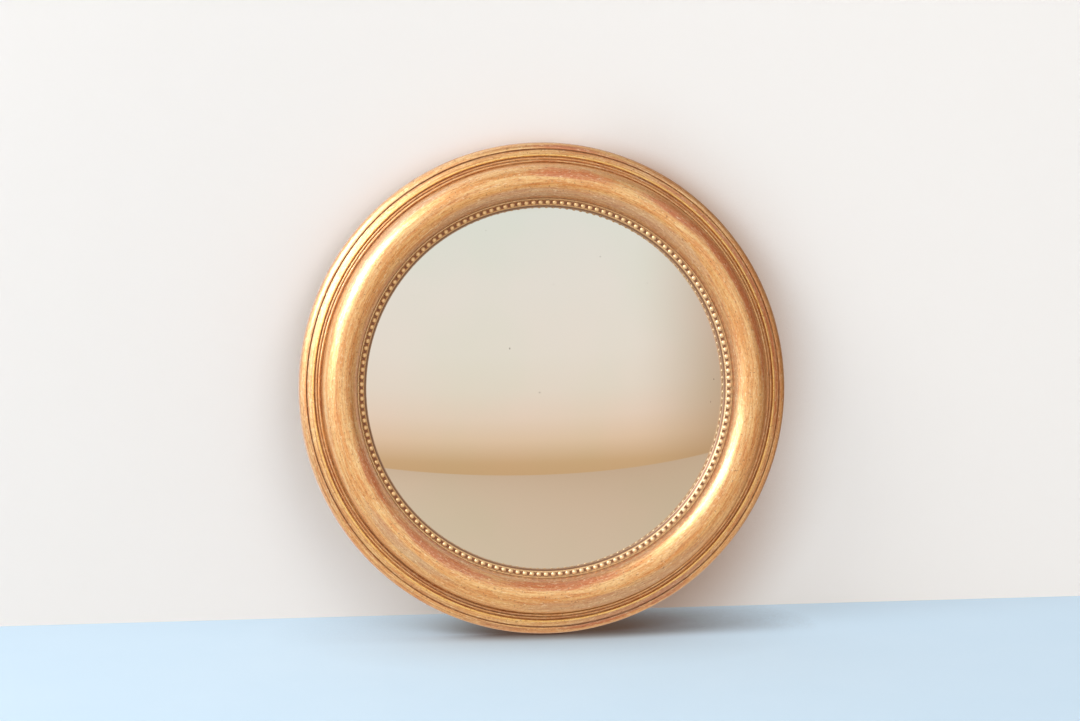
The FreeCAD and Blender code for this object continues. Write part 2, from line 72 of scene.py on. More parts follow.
# The room, which leans with the photograph: the mirror stands on a shelf and leans back on
# the wall behind it.
LEAN = 9.5
WALL_DISTANCE = 1.5
FOOT = Vector((0.0, -7.0, -AXIS_DROP - RIM)) * MM
ROOM_UP = Vector((0.0, -math.sin(math.radians(LEAN)), math.cos(math.radians(LEAN))))
ROOM_OUT = Vector((0.0, -math.cos(math.radians(LEAN)), -math.sin(math.radians(LEAN))))
CENTRE = Vector((0.0, 0.0, -AXIS_DROP)) * MM


def paint(red, green, blue):
    """Linear colour of an 8-bit screen colour."""
    parts = [part / 255.0 for part in (red, green, blue)]
    return tuple(
        part / 12.92 if part <= 0.04045 else ((part + 0.055) / 1.055) ** 2.4 for part in parts
    ) + (1.0,)


# ---------------------------------------------------------------- nodes


class Nodes:
    """Short calls that add linked nodes to one material or world."""

    def __init__(self, owner):
        owner.use_nodes = True
        self.tree = owner.node_tree
        self.tree.nodes.clear()

    def add(self, kind, inputs=None, **settings):
        node = self.tree.nodes.new(kind)
        for key, value in settings.items():
            setattr(node, key, value)
        for key, value in (inputs or {}).items():
            self.feed(node.inputs[key], value)
        return node

    def feed(self, socket, value):
        if isinstance(value, bpy.types.NodeSocket):
            self.tree.links.new(value, socket)
        else:
            socket.default_value = value

    def math(self, operation, *values, clamp=False):
        node = self.add("ShaderNodeMath", operation=operation, use_clamp=clamp)
        for socket, value in zip(node.inputs, values):
            self.feed(socket, value)
        return node.outputs[0]

    def scaled(self, value, factor, offset=0.0, clamp=False):
        return self.math("MULTIPLY_ADD", value, factor, offset, clamp=clamp)

    def hypotenuse(self, first, second):
        squares = self.math("ADD", self.math("POWER", first, 2), self.math("POWER", second, 2))
        return self.math("SQRT", squares)

    def span(self, value, low, high, to_low=0.0, to_high=1.0, smooth=True):
        node = self.add(
            "ShaderNodeMapRange",
            {0: value, 1: low, 2: high, 3: to_low, 4: to_high},
            interpolation_type="SMOOTHSTEP" if smooth else "LINEAR",
        )
        return node.outputs[0]

    def dot(self, vector, other):
        node = self.add("ShaderNodeVectorMath", {0: vector, 1: other}, operation="DOT_PRODUCT")
        return node.outputs["Value"]

    def place(self):
        return self.add("ShaderNodeTexCoord").outputs["Object"]

    def parts(self, vector):
        return self.add("ShaderNodeSeparateXYZ", {0: vector}).outputs

    def from_axis(self, place):
        return self.add("ShaderNodeVectorMath", {0: place, 1: -CENTRE}).outputs[0]

    def stretched(self, vector, scale):
        return self.add("ShaderNodeMapping", {"Vector": vector, "Scale": scale}).outputs[0]

    def openness(self, distance):
        """1 in the open, less where things stand close by."""
        node = self.add("ShaderNodeAmbientOcclusion", {"Distance": distance}, samples=12)
        return node.outputs[1]

    def output(self, shader, kind="ShaderNodeOutputMaterial"):
        self.tree.links.new(shader.outputs[0], self.add(kind).inputs[0])

    def mix(self, factor, first, second, blend="MIX"):
        node = self.add(
            "ShaderNodeMix",
            {0: factor, 6: first, 7: second},
            data_type="RGBA",
            blend_type=blend,
        )
        return node.outputs[2]

    def ramp(self, value, stops, low, high):
        """Colours or grey levels by value, with stops given in the value's own unit."""
        node = self.add("ShaderNodeValToRGB", {0: self.span(value, low, high, smooth=False)})
        elements = node.color_ramp.elements
        while len(elements) < len(stops):
            elements.new(1.0)
        for element, (position, colour) in zip(elements, stops):
            element.position = (position - low) / (high - low)
            level = (colour,) * 3 + (1.0,)
            element.color = colour if isinstance(colour, tuple) else level
        return node.outputs[0]

    def noise(self, vector, scale, detail=2.0, w=None, roughness=0.5):
        node = self.add(
            "ShaderNodeTexNoise",
            {"Vector": vector, "Scale": scale, "Detail": detail, "Roughness": roughness},
            noise_dimensions="3D" if w is None else "4D",
        )
        if w is not None:
            self.feed(node.inputs["W"], w)
        return node.outputs[0]

    def bump(self, height, strength, distance, normal=None):
        node = self.add(
            "ShaderNodeBump", {"Height": height, "Strength": strength, "Distance": distance}
        )
        if normal is not None:
            self.feed(node.inputs["Normal"], normal)
        return node.outputs[0]

    def surface(self, **inputs):
        """Principled surface, as the material's output."""
        shader = self.add(
            "ShaderNodeBsdfPrincipled",
            {key.replace("_", " "): value for key, value in inputs.items()},
        )
        self.output(shader)


def new_material(name):
    material = bpy.data.materials.new(name)
    return material, Nodes(material)


class Turning(Nodes):
    """Nodes for a material that runs round the mirror's axis."""

    def __init__(self, owner):
        super().__init__(owner)
        self.here = self.place()
        x, y, z = self.parts(self.from_axis(self.here))
        reach = self.hypotenuse(x, z)
        self.radius = self.math("DIVIDE", reach, MM)
        self.height = self.scaled(y, -1 / MM, -STAND_OFF)
        self.along_x = self.math("DIVIDE", x, reach)
        self.along_z = self.math("DIVIDE", z, reach)
        self.angle = self.math("DEGREES", self.math("ARCTAN2", z, x))

    def streaks(self, length, width, detail=2.0, seed=0.0, roughness=0.5):
        """Noise drawn out round the frame: length and width of its marks in mm."""
        turn = TORUS_CENTRE / length
        vector = self.add(
            "ShaderNodeCombineXYZ",
            {
                0: self.scaled(self.along_x, turn, seed),
                1: self.scaled(self.along_z, turn),
                2: self.math("DIVIDE", self.radius, width),
            },
        ).outputs[0]
        w = self.math("DIVIDE", self.height, width)
        return self.noise(vector, 1.0, detail, w, roughness)

    def patch(self, angle, radius, half_angle, half_width):
        """Soft patch at a place on the ring: 1 in its middle, 0 at its edge."""
        turn = math.radians(angle)
        ahead = self.math(
            "ADD",
            self.scaled(self.along_x, math.cos(turn)),
            self.scaled(self.along_z, math.sin(turn)),
        )
        around = self.scaled(ahead, -2.0, 2.0)
        aside = self.math("POWER", self.scaled(self.radius, 1.0, -radius), 2)
        far = self.math(
            "ADD",
            self.math("DIVIDE", around, math.radians(half_angle) ** 2),
            self.math("DIVIDE", aside, half_width**2),
        )
        return self.span(far, 0.0, 1.0, 1.0, 0.0)

    def several(self, patches):
        total = 0.0
        for patch in patches:
            total = self.math("MAXIMUM", total, self.patch(*patch))
        return total


# ---------------------------------------------------------------- materials

LEAF = paint(248, 211, 148)
COPPER_LEAF = paint(230, 164, 96)
# The red of the bole, which in the gilding also serves as painted shade on the right.
BRICK_RED = paint(198, 100, 54)
# Grey of the toning wash, which in the gilding also serves as painted reflection of the shaded
# shelf.
WASH_AND_REFLECTED_SHADE = paint(196, 158, 128)
GROOVE = paint(132, 88, 68)
LAP_START, LAP_PITCH = 2.0, 46.7
RIDGE_WEAR_AND_GLINT = 184.7


def gilded(name, wash_stops, bole_stops, groove_stops, wash_and_reflection_patches, bole_and_shade_patches, line_depth,
           low, high):
    """Metal leaf over red bole, brushed round the frame. The stops give, by radius, the
    share of toning wash, of bole rubbed through, and of dark in the grooves, which is
    partly toning and partly painted shade. Some of the wash and bole patches are painted
    reflection and painted shade. line_depth is how strongly fine turned lines show."""
    material = bpy.data.materials.new(name)
    n = Turning(material)
    brush = n.streaks(15.0, 0.8, 4.0, 11.0, 0.7)
    hair = n.streaks(3.2, 0.75, 3.0, 5.0, 0.7)
    cloud = n.streaks(30.0, 2.2, 5.0, 2.0, 0.75)
    drift = n.streaks(26.0, 1.1, 5.0, 7.0, 0.75)
    rub = n.streaks(18.0, 1.2, 6.0, 17.0, 0.8)
    line = n.streaks(90.0, 1.0, 3.0, 23.0, 0.7)

    colour = n.mix(n.span(cloud, 0.40, 0.60), LEAF, COPPER_LEAF)
    # Each leaf of metal has its own tone, and laps over the last.
    turned = n.math("WRAP", n.angle, LAP_START + FULL_TURN, LAP_START)
    wander = n.noise(n.here, 160.0, 2.0)
    phase = n.scaled(turned, 1 / LAP_PITCH, -LAP_START / LAP_PITCH)
    leaf = n.math("FLOOR", phase)
    tone = n.add("ShaderNodeTexWhiteNoise", {"W": leaf}, noise_dimensions="1D").outputs[0]
    colour = n.mix(n.scaled(tone, 0.18), colour, COPPER_LEAF)
    lap = n.math("MULTIPLY", n.math("FRACT", phase), n.scaled(n.radius, math.radians(LAP_PITCH)))
    lap = n.math("ADD", lap, n.scaled(wander, 1.6, -0.6))
    lap_line = n.math("MULTIPLY", n.span(lap, 0.0, 0.25), n.span(lap, 0.5, 0.8, 1.0, 0.0))
    colour = n.mix(n.scaled(lap_line, 0.35), colour, paint(255, 232, 184))

    # Red bole rubbed through; on the right and at the lower right the patches are partly painted
    # shade.
    bole = n.math("MAXIMUM", n.ramp(n.radius, bole_stops, low, high), n.several(bole_and_shade_patches))
    worn_and_shaded = n.span(n.math("ADD", rub, n.scaled(bole, 0.36)), 0.60, 0.90)
    colour = n.mix(n.scaled(worn_and_shaded, 0.85), colour, BRICK_RED)

    # Grey toning wash; at the lower right the patches are painted reflection of the shaded shelf
    # and painted shade.
    wash = n.math("MAXIMUM", n.ramp(n.radius, wash_stops, low, high), n.several(wash_and_reflection_patches))
    washed_and_reflected = n.span(n.math("ADD", drift, n.scaled(wash, 0.36)), 0.52, 0.90)
    colour = n.mix(n.scaled(washed_and_reflected, 0.62), colour, WASH_AND_REFLECTED_SHADE)

    colour = n.mix(n.span(line, 0.48, 0.66, 0.0, line_depth), colour, paint(176, 118, 88))
    colour = n.mix(n.span(line, 0.30, 0.44, line_depth * 0.8, 0.0), colour, paint(255, 222, 160))

    # Dark in the grooves and the quirk: partly toning and partly painted shade.
    groove = n.ramp(n.radius, groove_stops, low, high)
    groove_tone_and_shade = n.math("MULTIPLY", groove, n.span(brush, 0.25, 0.6, 0.55, 1.0), clamp=True)
    colour = n.mix(n.scaled(groove_tone_and_shade, 0.62), colour, GROOVE)
    # A lighter line along the ridge: partly rubbed leaf and partly painted highlight.
    edge = n.span(n.math("ABSOLUTE", n.scaled(n.radius, 1.0, -RIDGE_WEAR_AND_GLINT)), 0.5, 1.1, 0.9, 0.0)
    colour = n.mix(n.math("MULTIPLY", edge, n.span(rub, 0.30, 0.46)), colour, paint(255, 216, 132))

    colour = n.mix(n.span(brush, 0.52, 0.74, 0.0, 0.6), colour, paint(176, 100, 50))
    colour = n.mix(n.span(hair, 0.54, 0.68, 0.0, 0.7), colour, paint(255, 236, 196))
    colour = n.mix(n.span(hair, 0.32, 0.46, 0.65, 0.0), colour, paint(176, 104, 58))
    dust = n.noise(n.here, 620.0, 3.0)
    colour = n.mix(n.span(dust, 0.60, 0.72, 0.0, 0.6), colour, paint(140, 84, 48))

    dull = n.math("MAXIMUM", worn_and_shaded, washed_and_reflected)
    rough = n.math("ADD", n.span(brush, 0.3, 0.7, 0.28, 0.44), n.scaled(dull, 0.10))
    metal = n.scaled(dull, -0.30, 0.8)
    marks = n.math("ADD", n.scaled(brush, 0.7), n.scaled(hair, 0.3))
    normal = n.bump(marks, 0.5, 0.0002)
    normal = n.bump(lap_line, 0.25, 0.0001, normal)
    normal = n.bump(n.noise(n.here, 260.0, 2.0), 0.20, 0.0003, normal)
    n.surface(
        Base_Color=colour, Metallic=metal, Roughness=rough, Normal=normal, Coat_Weight=0.8,
        Coat_Roughness=0.27, Coat_IOR=1.7,
    )
    return material


def base_gilding():
    wash = [(178.2, 0.5), (181.0, 0.45), (183.2, 0.4), (185.0, 0.1), (189.0, 0.3), (195.0, 0.3)]
    bole = [(178.0, 0.0), (183.3, 0.15), (184.6, 0.0), (187.0, 0.2), (189.4, 0.4), (192.0, 0.2),
            (194.0, 0.4), (195.0, 0.9)]
    groove = [
        (178.2, 0.8), (178.8, 0.3), (179.3, 0.0), (180.6, 0.0), (181.1, 0.6), (181.6, 0.0),
        (182.8, 0.0), (183.2, 0.45), (183.5, 0.0), (184.2, 0.0), (188.2, 0.0), (188.9, 0.85),
        (189.6, 0.85), (190.3, 0.0), (194.3, 0.0), (195.0, 0.4),
    ]
    # Wash patches: the one at the lower right is painted reflection of the shaded shelf and painted
    # shade.
    wash_and_reflection_spots = [(64.0, 183.0, 5.0, 2.6), (292.0, 188.0, 34.0, 5.0)]
    # Bole patches: those on the right and at the lower right are partly painted shade.
    bole_and_shade_spots = [
        (282.0, 191.0, 16.0, 3.0), (300.0, 192.0, 10.0, 2.0), (84.0, 191.5, 14.0, 2.5),
        (296.0, 187.2, 30.0, 3.0), (25.0, 187.0, 60.0, 2.2),
    ]
    return gilded("gilded_base", wash, bole, groove, wash_and_reflection_spots, bole_and_shade_spots, 0.7, 176.0, 196.0)


def torus_gilding():
    wash = [
        (149.8, 0.7), (151.0, 0.5), (154.0, 0.3), (158.0, 0.1), (162.0, 0.0), (168.0, 0.0),
        (173.0, 0.05), (175.5, 0.25), (178.2, 0.4),
    ]
    bole = [(150.0, 0.7), (154.0, 0.45), (158.0, 0.2), (162.0, 0.0), (170.0, 0.05),
            (174.0, 0.1), (178.2, 0.15)]
    groove = [(150.0, 0.7), (150.8, 0.3), (153.0, 0.1), (156.0, 0.0), (177.4, 0.0), (178.2, 0.5)]
    # Wash patches: the one low on the outer slope, at the lower right, is painted reflection of the
    # shaded shelf.
    wash_and_reflection_spots = [
        (290.0, 172.5, 40.0, 7.0), (60.0, 155.5, 38.0, 6.0), (100.0, 154.5, 36.0, 5.5),
        (225.0, 170.0, 22.0, 5.0), (135.0, 176.0, 30.0, 4.0),
    ]
    # Bole patches: the one on the right is partly painted shade.
    bole_and_shade_spots = [
        (84.0, 170.0, 18.0, 6.5), (52.0, 171.0, 20.0, 4.5), (274.0, 156.0, 28.0, 6.0),
        (236.0, 157.0, 28.0, 6.5), (204.0, 156.0, 18.0, 6.0), (30.0, 173.0, 46.0, 5.5),
        (234.0, 150.5, 26.0, 4.0),
    ]
    return gilded("gilded_torus", wash, bole, groove, wash_and_reflection_spots, bole_and_shade_spots, 0.3, 149.0, 179.0)


def slip_gilding():
    """The slip: pale lines at its edges, brown on its sloping sight edge and its bead bed."""
    material = bpy.data.materials.new("gilded_slip")
    n = Turning(material)
    brush = n.streaks(16.0, 0.4, 3.0, 3.0)
    colour = n.ramp(
        n.radius,
        [
            (142.9, paint(232, 196, 160)), (143.3, paint(176, 140, 112)),
            (143.8, paint(132, 98, 74)), (144.6, paint(144, 106, 78)),
            (145.0, paint(246, 206, 150)), (145.4, paint(150, 90, 56)),
            (149.0, paint(150, 90, 56)), (149.3, paint(255, 226, 176)),
            (149.9, paint(244, 200, 144)),
        ],
        142.0,
        150.0,
    )
    colour = n.mix(n.span(brush, 0.5, 0.8, 0.0, 0.4), colour, paint(120, 72, 46))
    metal = n.ramp(n.radius, [(145.3, 0.3), (149.1, 0.3), (149.3, 0.5)], 142.0, 150.0)
    normal = n.bump(brush, 0.3, 0.0001)
    n.surface(Base_Color=colour, Metallic=metal, Roughness=n.scaled(brush, 0.2, 0.3), Normal=normal)
    return material


def bead_gilding():
    """Pearls, paler toward their crowns, with painted light on the side of the ring toward the
    lower right, and darker low down between them on the tape's middle.
    """
    material = bpy.data.materials.new("gilded_beads")
    n = Turning(material)
    patches = n.noise(n.here, 420.0, 3.0)
    grain = n.noise(n.here, 2600.0, 2.0)
    level = n.math("ADD", n.scaled(n.height, 1.0, -STRIP_TOP), n.scaled(patches, 0.8, -0.4))
    pale = n.ramp(
        level,
        [
            (0.0, paint(204, 150, 96)), (1.2, paint(220, 172, 114)), (2.6, paint(246, 210, 156)),
        ],
        -1.0,
        3.0,
    )
    # Painted light: the pearls are paler on the side of the ring toward the lower right, where the
    # light falls.
    painted_light_side = n.patch(335.0, BEAD_RING, 110.0, 20.0)
    pale = n.mix(n.scaled(painted_light_side, 0.8), pale, paint(255, 232, 190))
    off = n.math("ABSOLUTE", n.scaled(n.radius, 1.0, -BEAD_RING))
    deep = n.math("MULTIPLY", n.span(off, 1.0, 1.8, 1.0, 0.0), n.span(level, 0.3, 1.2, 1.0, 0.0))
    colour = n.mix(n.scaled(deep, 0.9), pale, paint(138, 80, 46))
    colour = n.mix(n.span(patches, 0.6, 0.75, 0.0, 0.35), colour, BRICK_RED)
    metal = n.scaled(deep, -0.4, 0.5)
    normal = n.bump(grain, 0.15, 0.00008)
    rough = n.scaled(grain, 0.2, 0.28)
    n.surface(Base_Color=colour, Metallic=metal, Roughness=rough, Normal=normal)
    return material


def raw_wood():
    """Lime wood, with each segment's grain along its length, glue lines at the mitres and
    ochre paint over its outer edge."""
    material = bpy.data.materials.new("raw_wood")
    n = Turning(material)
    grain_map = n.add("ShaderNodeUVMap", uv_map="grain").outputs[0]
    stretch = n.stretched(grain_map, (14.0, 300.0, 1.0))
    fibre = n.noise(stretch, 1.0, 5.0, roughness=0.65)
    pore = n.noise(n.stretched(grain_map, (160.0, 2600.0, 1.0)), 1.0, 2.0)
    rings = n.add(
        "ShaderNodeTexWave",
        {"Vector": stretch, "Scale": 0.35, "Distortion": 5.0, "Detail": 2.0},
        bands_direction="Y",
    ).outputs[1]
    colour = n.mix(n.span(fibre, 0.3, 0.7), paint(214, 182, 138), paint(188, 150, 104))
    colour = n.mix(n.scaled(rings, 0.35), colour, paint(170, 128, 84))
    colour = n.mix(n.span(pore, 0.6, 0.75, 0.0, 0.5), colour, paint(126, 90, 58))
    stain = n.noise(n.here, 26.0, 3.0)
    colour = n.mix(n.span(stain, 0.5, 0.72, 0.0, 0.4), colour, paint(150, 112, 74))
    # Mitres: distance from the nearest one, in mm.
    step = FULL_TURN / SEGMENTS
    off = n.math("PINGPONG", n.scaled(n.angle, 1.0, FULL_TURN), step / 2)
    near = n.math("MULTIPLY", off, n.scaled(n.radius, math.radians(1.0)))
    colour = n.mix(n.span(near, 0.12, 0.45, 0.8, 0.0), colour, paint(84, 56, 36))
    edge = n.math("ADD", n.radius, n.scaled(n.noise(n.here, 120.0, 4.0), 7.0, -3.5))
    painted = n.span(edge, 189.0, 190.4)
    colour = n.mix(n.scaled(painted, 0.9), colour, paint(190, 120, 58))
    normal = n.bump(n.math("ADD", fibre, n.scaled(pore, 0.6)), 0.35, 0.0003)
    n.surface(Base_Color=colour, Roughness=n.scaled(fibre, 0.2, 0.55), Normal=normal)
    return material


def mirror_face():
    """Silvered glass, seen from the front: a little warm, with faint clouding and specks."""
    material = bpy.data.materials.new("mirror_face")
    n = Turning(material)
    cloud = n.noise(n.here, 9.0, 3.0)
    colour = n.mix(n.span(cloud, 0.35, 0.65), paint(227, 224, 222), paint(222, 224, 219))
    speck = n.noise(n.here, 330.0, 0.0)
    colour = n.mix(n.span(speck, 0.895, 0.905, 0.0, 0.6), colour, paint(110, 104, 96))
    haze = n.noise(n.here, 40.0, 3.0)
    n.surface(
        Base_Color=colour,
        Metallic=1.0,
        Roughness=n.span(haze, 0.4, 0.7, 0.012, 0.03),
        Coat_Weight=1.0,
        Coat_Roughness=0.01,
    )
    return material


def mirror_edge():
    material, n = new_material("mirror_edge")
    place = n.place()
    ground = n.noise(place, 900.0, 3.0)
    colour = n.mix(ground, paint(150, 176, 164), paint(196, 212, 204))
    normal = n.bump(ground, 0.3, 0.0002)
    n.surface(Base_Color=colour, Roughness=0.45, Normal=normal)
    return material


def mirror_back():
    material, n = new_material("mirror_back")
    place = n.place()
    orange_peel = n.noise(place, 500.0, 3.0)
    colour = n.mix(orange_peel, paint(96, 84, 76), paint(116, 104, 94))
    normal = n.bump(orange_peel, 0.2, 0.0003)
    n.surface(Base_Color=colour, Roughness=0.5, Normal=normal)
    return material


def felt():
    material, n = new_material("felt_dark")
    place = n.place()
    fibre = n.noise(place, 1400.0, 4.0, roughness=0.7)
    colour = n.mix(fibre, paint(44, 38, 34), paint(84, 74, 68))
    normal = n.bump(fibre, 0.6, 0.0004)
    n.surface(Base_Color=colour, Roughness=0.95, Normal=normal, Sheen_Weight=0.3)
    return material


def board(name, light, dark, flecks, scale):
    """Pressed board: mottled, with fibres and flecks."""
    material, n = new_material(name)
    place = n.place()
    mottle = n.noise(place, scale, 4.0, roughness=0.6)
    fibre = n.noise(place, scale * 26.0, 4.0, roughness=0.75)
    colour = n.mix(n.span(mottle, 0.3, 0.7), light, dark)
    colour = n.mix(n.span(fibre, 0.58, 0.74, 0.0, 0.6), colour, flecks)
    normal = n.bump(fibre, 0.35, 0.0003)
    n.surface(Base_Color=colour, Roughness=n.scaled(fibre, 0.25, 0.42), Normal=normal)
    return material


def rubber():
    material, n = new_material("bumper_rubber_fine")
    place = n.place()
    grain = n.noise(place, 2200.0, 3.0)
    dust = n.noise(place, 300.0, 3.0)
    colour = n.mix(n.span(dust, 0.5, 0.75, 0.0, 0.4), paint(34, 33, 32), paint(92, 88, 84))
    normal = n.bump(grain, 0.3, 0.0002)
    n.surface(Base_Color=colour, Roughness=n.scaled(dust, 0.2, 0.55), Normal=normal)
    return material


def plated(name, bright, dark, tarnish, roughness):
    """Plated metal with drawn lines, cloudy tarnish and a little pitting."""
    material, n = new_material(name)
    place = n.place()
    lines = n.noise(n.stretched(place, (260.0, 260.0, 3600.0)), 1.0, 3.0)
    cloud = n.noise(place, 170.0, 4.0, roughness=0.6)
    pits = n.noise(place, 2400.0, 1.0)
    colour = n.mix(n.span(lines, 0.35, 0.7), bright, dark)
    colour = n.mix(n.span(cloud, 0.5, 0.72, 0.0, 0.7), colour, tarnish)
    colour = n.mix(n.span(pits, 0.7, 0.78, 0.0, 0.6), colour, paint(70, 58, 48))
    rough = n.math("ADD", n.scaled(lines, 0.12, roughness), n.span(cloud, 0.5, 0.72, 0.0, 0.2))
    normal = n.bump(lines, 0.2, 0.00008)
    n.surface(Base_Color=colour, Metallic=0.95, Roughness=rough, Normal=normal)
    return material


# ---------------------------------------------------------------- shapes


def arc(centre, radius, start, end, steps):
    """Points of an arc in an outline, from start to end degrees, both ends included."""
    points = []
    for step in range(steps + 1):
        turn = math.radians(start + (end - start) * step / steps)
        points.append(
            (centre[0] + radius * math.cos(turn), centre[1] + radius * math.sin(turn))
        )
    return points


def softened(points, radius):
    """Closed outline with its sharp corners eased, as gesso leaves them."""
    eased = []
    for before, corner, after in zip([points[-1]] + points[:-1], points, points[1:] + points[:1]):
        here = Vector(corner)
        back, ahead = Vector(before) - here, Vector(after) - here
        if back.angle(-ahead) < math.radians(20.0):
            eased.append(corner)
            continue
        start = here + back.normalized() * min(radius, back.length * 0.4)
        end = here + ahead.normalized() * min(radius, ahead.length * 0.4)
        for share in (0.0, 0.33, 0.67, 1.0):
            curve = start * (1 - share) ** 2 + here * 2 * share * (1 - share) + end * share**2
            eased.append((curve.x, curve.y))
    return eased


def at(radius, height, angle):
    turn = math.radians(angle)
    return (
        Vector((radius * math.cos(turn), -STAND_OFF - height, radius * math.sin(turn) - AXIS_DROP))
        * MM
    )


def hand_worked(outline, index, angle, amount):
    """A point of the outline, sunk a little and unevenly as hand finishing leaves it."""
    radius, height = outline[index]
    before, after = Vector(outline[index - 1]), Vector(outline[(index + 1) % len(outline)])
    along = after - before
    outward = Vector((along.y, -along.x)).normalized()
    turn = math.radians(angle)
    sample = Vector((math.cos(turn) * 5.0, math.sin(turn) * 5.0, (radius + height) * 0.16))
    sink = amount * (0.5 + 0.5 * noise.noise(sample))
    return radius - outward.x * sink, height - outward.y * sink


def turned(name, outline, materials, hidden, first=0.0, sweep=FULL_TURN, steps=SEGMENT_STEPS,
           uneven=0.0):
    """Solid turned from a closed outline of (radius, height). hidden says which of its
    edges, by the two ends, take the second material."""
    closed = sweep >= FULL_TURN
    count = len(outline)
    mesh = bmesh.new()
    columns = []
    for step in range(steps if closed else steps + 1):
        angle = first + sweep * step / steps
        columns.append(
            [
                mesh.verts.new(at(*hand_worked(outline, index, angle, uneven), angle))
                for index in range(count)
            ]
        )
    pairs = list(zip(columns, columns[1:] + columns[:1])) if closed else list(
        zip(columns, columns[1:])
    )
    for column, following in pairs:
        for index in range(count):
            ahead = (index + 1) % count
            face = mesh.faces.new(
                (column[index], column[ahead], following[ahead], following[index])
            )
            face.material_index = int(hidden(outline[index], outline[ahead]))
            face.smooth = True
    if not closed:
        for column in (columns[0], columns[-1]):
            mesh.faces.new(column).material_index = min(1, len(materials) - 1)
    bmesh.ops.recalc_face_normals(mesh, faces=mesh.faces[:])
    lay_grain(mesh, first + sweep / 2)
    return finished(name, mesh, materials)


def lay_grain(mesh, middle):
    """Map, in metres, whose first coordinate runs along the segment's chord."""
    layer = mesh.loops.layers.uv.new("grain")
    turn = math.radians(middle)
    for face in mesh.faces:
        for loop in face.loops:
            place = loop.vert.co - CENTRE
            out = place.x * math.cos(turn) + place.z * math.sin(turn)
            along = place.z * math.cos(turn) - place.x * math.sin(turn)
            loop[layer].uv = (along + 0.37 * middle, out + place.y * 0.6)


def finished(name, mesh, materials):
    data = bpy.data.meshes.new(name)
    mesh.to_mesh(data)
    mesh.free()
    for material in materials:
        data.materials.append(material)
    data.set_sharp_from_angle(angle=math.radians(SHARP_ANGLE))
    piece = bpy.data.objects.new(name, data)
    bpy.context.scene.collection.objects.link(piece)
    return piece


def base_outline():
    """The back layer: chamfer, edge, roll, groove, sloping band, ridge and two reeds."""
    points = [(194.0, 0.0), (RIM, 1.0), (RIM, 5.0)]
    points += arc((188.5, 7.0), 6.5, 0.0, 77.56, 16)
    points += [(189.4, 12.1), (188.9, 13.2), (185.5, 14.6)]
    points += arc((184.6, 14.6), 0.9, 15.0, 165.0, 8) + [(183.7, 14.6), (183.25, 13.3)]
    points += [(182.8, 14.4)] + arc((182.1, 14.4), 0.7, 20.0, 160.0, 7) + [(181.4, 14.4)]
    points += [(181.1, 13.9), (180.8, 14.4)] + arc((179.9, 14.4), 0.9, 15.0, 165.0, 8)
    points += [(179.0, 14.4), (TORUS_OUTER, BASE_HEIGHT), (REBATE, BASE_HEIGHT), (REBATE, 0.0)]
    return softened(points, EASED_EDGE)


def torus_outline():
    """The front layer: the large half-round, whose inner end stands on the slip."""
    points = [(TORUS_OUTER, BASE_HEIGHT)]
    points += arc((TORUS_CENTRE, TORUS_LEVEL), TORUS_RADIUS, 0.0, 179.59, 60)
    points += [(FLANGE + 0.1, FLANGE_TOP), (FLANGE + 0.1, BASE_HEIGHT)]
    return softened(points, EASED_EDGE)


def slip_outline():
    """The sight slip: sloping sight edge, bead bed, fillet and flange."""
    points = [
        (SIGHT, SLIP_BACK), (REBATE, SLIP_BACK), (REBATE, BASE_HEIGHT), (FLANGE, BASE_HEIGHT),
        (FLANGE, FLANGE_TOP), (SLIP_OUTER, FLANGE_TOP), (SLIP_OUTER, FILLET_TOP),
        (BED_OUTER, FILLET_TOP), (BED_OUTER, BED_LEVEL), (BED_INNER, BED_LEVEL),
    ]
    return softened(points, EASED_SLIP_EDGE)


def make_frame_segments(gilt_base, gilt_torus, wood):
    """Both layers of the frame, each of six mitred segments."""
    step = FULL_TURN / SEGMENTS

    def base_hidden(start, end):
        return max(start[1], end[1]) < 0.9 or max(start[0], end[0]) < TORUS_OUTER

    def torus_hidden(start, end):
        return max(start[1], end[1]) <= BASE_HEIGHT + 0.2 or (
            max(start[0], end[0]) < FLANGE + 0.3 and max(start[1], end[1]) <= FLANGE_TOP + 0.1
        )

    for index in range(SEGMENTS):
        base = turned(
            f"base_moulding_{index + 1}", base_outline(), [gilt_base, wood], base_hidden,
            index * step, step, uneven=HAND_WORK,
        )
        settle(base, f"base_segment_{index + 1}")
        torus = turned(
            f"torus_moulding_{index + 1}", torus_outline(), [gilt_torus, wood], torus_hidden,
            (index + 0.5) * step, step, uneven=HAND_WORK,
        )
        settle(torus, f"torus_segment_{index + 1}")


def settle(piece, node, body="frame"):
    """Put a piece in a CAD node's place."""
    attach(piece, body)
    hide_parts(node)


def make_slip(gilding):
    piece = turned(
        "slip_moulding", slip_outline(), [gilding], lambda start, end: False,
        steps=6 * SEGMENT_STEPS, uneven=HAND_WORK / 2,
    )
    settle(piece, "sight_slip")


